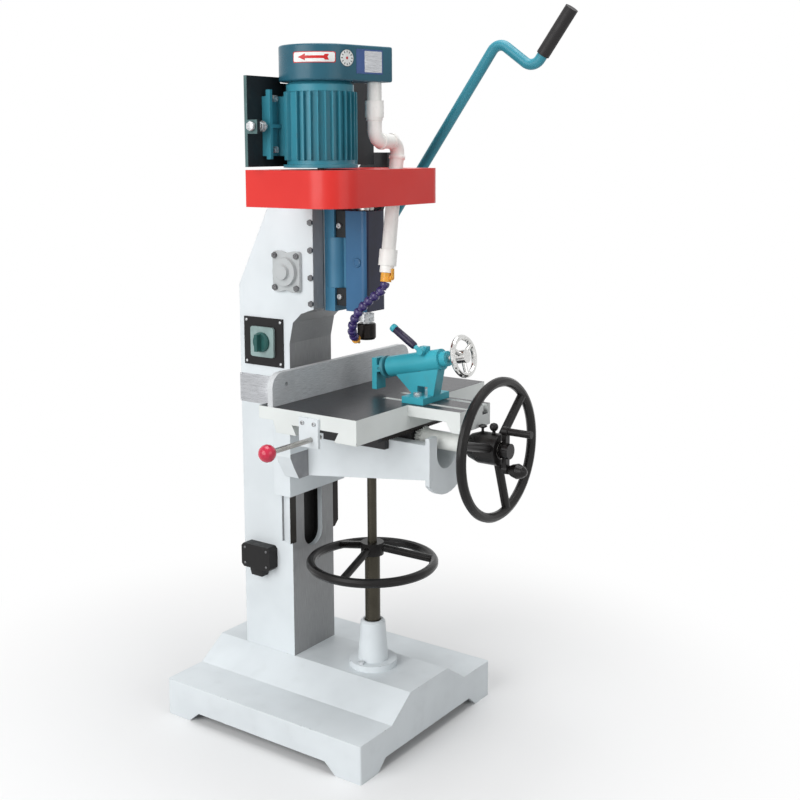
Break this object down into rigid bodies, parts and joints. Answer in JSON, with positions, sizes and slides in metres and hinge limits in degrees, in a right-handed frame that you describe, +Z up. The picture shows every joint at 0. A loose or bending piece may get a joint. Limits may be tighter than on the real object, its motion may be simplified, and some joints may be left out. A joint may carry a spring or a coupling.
{
  "type": "chisel mortiser",
  "caption": "Floor-standing chisel mortiser: rack-fed, belt-driven spindle head with blower, rising knee, sliding table with screw clamp and fence.",
  "frame": {"origin": "on the floor, at the centre of the base casting's footprint", "axes": "+Z up; the operator stands at -Y; +X to the operator's right"},
  "size_m": [0.6015, 0.7485, 1.475],
  "materials": {
    "light_paint": "semi-gloss hammered enamel",
    "teal_paint": "gloss enamel",
    "clamp_paint": "gloss enamel",
    "blue_paint": "gloss enamel",
    "red_paint": "gloss enamel",
    "black_steel": "satin black",
    "bright_steel": "ground",
    "dark_steel": "ground, oiled",
    "grey_iron": "machined",
    "chrome": "polished",
    "black_plastic": "moulded",
    "grey_plastic": "moulded",
    "green_plastic": "moulded",
    "red_plastic": "moulded",
    "white_plastic": "pipe",
    "orange_plastic": "moulded",
    "purple_plastic": "ball-joint links",
    "belt_rubber": "matt"
  },
  "bodies": {
    "frame": {"base": "light_paint", "column": "light_paint", "way_keeper": "black_steel", "head_gib": "bright_steel", "frame_bolts": "dark_steel", "feed_bearing": "light_paint", "outboard_bearing": "black_steel", "switch_body": "grey_plastic", "junction_box": "black_plastic", "screw_pedestal": "light_paint"},
    "feed_lever": {"feed_shaft": "bright_steel", "feed_pinion": "dark_steel", "lever_arm": "teal_paint", "lever_grip": "black_plastic"},
    "head": {"head_slide": "blue_paint", "feed_rack": "dark_steel", "clamp_blocks": "black_steel", "spindle_housing": "blue_paint", "spindle_bearings": "bright_steel", "drive_belt": "belt_rubber", "belt_cover": "red_paint", "motor_carrier": "black_steel", "motor_plate": "teal_paint", "motor_frame": "teal_paint", "motor_bells": "teal_paint", "motor_bolts": "dark_steel", "stator": "dark_steel", "blower_cowl": "teal_paint", "air_pipe": "white_plastic", "air_valve": "orange_plastic", "air_hose": "purple_plastic", "air_nozzle": "orange_plastic"},
    "spindle": {"spindle": "bright_steel", "chuck": "black_steel", "spindle_pulley": "grey_iron"},
    "motor_rotor": {"motor_rotor": "bright_steel", "motor_pulley": "grey_iron", "blower_impeller": "black_plastic"},
    "valve_lever": {"valve_lever": "orange_plastic"},
    "knee": {"knee": "light_paint", "cross_nut": "grey_iron"},
    "elevating_screw": {"elevating_screw": "bright_steel", "knee_handwheel": "black_plastic"},
    "saddle": {"saddle": "dark_steel"},
    "cross_crank": {"cross_crank": "black_plastic"},
    "table_wheel": {"table_feed_shaft": "light_paint", "table_handwheel": "black_plastic"},
    "table": {"table": "light_paint", "table_rack": "dark_steel", "fence": "grey_iron", "stop_plate": "light_paint", "clamp_body": "clamp_paint", "clamp_bolts": "dark_steel"},
    "stop_rod": {"stop_rod": "bright_steel", "stop_ball": "red_plastic"},
    "clamp_wheel": {"clamp_wheel": "chrome"},
    "clamp_ram": {"clamp_ram": "bright_steel"},
    "clamp_pad": {"clamp_pad": "clamp_paint"},
    "lock_lever": {"lock_lever": "black_plastic"},
    "switch_knob": {"switch_knob": "green_plastic"}
  },
  "joints": [
    {"name": "head_feed", "type": "slide", "parent": "frame", "child": "head", "axis": [0, 0, 1], "range_m": [-0.08, 0]},
    {"name": "feed_lever_turn", "type": "hinge", "parent": "frame", "child": "feed_lever", "pos_m": [0.196, 0.0435, 0.95], "axis": [1, 0, 0], "range_deg": [-0.5, 86]},
    {"name": "spindle_turn", "type": "hinge", "parent": "head", "child": "spindle", "pos_m": [0, -0.105, 0.95], "axis": [0, 0, 1], "continuous": true},
    {"name": "motor_turn", "type": "hinge", "parent": "head", "child": "motor_rotor", "pos_m": [-0.14, -0.105, 1.24], "axis": [0, 0, 1], "continuous": true},
    {"name": "air_valve_turn", "type": "hinge", "parent": "head", "child": "valve_lever", "pos_m": [-0.0274, -0.186, 0.9471], "axis": [0, 1, 0], "range_deg": [0, 80]},
    {"name": "knee_lift", "type": "slide", "parent": "frame", "child": "knee", "axis": [0, 0, 1], "range_m": [-0.09, 0.03]},
    {"name": "elevating_screw_turn", "type": "hinge", "parent": "knee", "child": "elevating_screw", "pos_m": [0, -0.115, 0.375], "axis": [0, 0, 1], "range_deg": [-5410, 1810]},
    {"name": "saddle_cross", "type": "slide", "parent": "knee", "child": "saddle", "axis": [0, -1, 0], "range_m": [-0.05, 0.05]},
    {"name": "cross_crank_turn", "type": "hinge", "parent": "saddle", "child": "cross_crank", "pos_m": [0, -0.43, 0.628], "axis": [0, 1, 0], "range_deg": [-3610, 3610]},
    {"name": "table_traverse", "type": "slide", "parent": "saddle", "child": "table", "axis": [1, 0, 0], "range_m": [-0.1, 0.1]},
    {"name": "table_wheel_turn", "type": "hinge", "parent": "saddle", "child": "table_wheel", "pos_m": [0, -0.417, 0.628], "axis": [0, 1, 0], "range_deg": [-261, 261]},
    {"name": "stop_rod_slide", "type": "slide", "parent": "table", "child": "stop_rod", "axis": [-1, 0, 0], "range_m": [0, 0.02]},
    {"name": "clamp_wheel_turn", "type": "hinge", "parent": "table", "child": "clamp_wheel", "pos_m": [0, -0.339, 0.801], "axis": [0, 0.9774, -0.2113], "range_deg": [-5, 3250]},
    {"name": "clamp_ram_slide", "type": "slide", "parent": "table", "child": "clamp_ram", "axis": [0, 0.9774, -0.2113], "range_m": [0, 0.045]},
    {"name": "clamp_pad_tilt", "type": "hinge", "parent": "clamp_ram", "child": "clamp_pad", "pos_m": [0, -0.14547, 0.75916], "axis": [1, 0, 0], "range_deg": [-3, 3]},
    {"name": "lock_lever_turn", "type": "hinge", "parent": "table", "child": "lock_lever", "pos_m": [-0.02, -0.254, 0.806], "axis": [-1, 0, 0], "range_deg": [-60, 0]},
    {"name": "switch_turn", "type": "hinge", "parent": "frame", "child": "switch_knob", "pos_m": [-0.09, 0.1135, 0.798], "axis": [-1, 0, 0], "range_deg": [0, 90]}
  ],
  "couplings": [
    {"joint": "feed_lever_turn", "follows": "head_feed", "rad_per_m": -18.519},
    {"joint": "spindle_turn", "follows": "motor_turn", "ratio": 1.3333},
    {"joint": "elevating_screw_turn", "follows": "knee_lift", "rad_per_m": 1047.2},
    {"joint": "cross_crank_turn", "follows": "saddle_cross", "rad_per_m": 1256.6},
    {"joint": "table_wheel_turn", "follows": "table_traverse", "rad_per_m": 45.455},
    {"joint": "clamp_wheel_turn", "follows": "clamp_ram_slide", "rad_per_m": 1256.6}
  ]
}
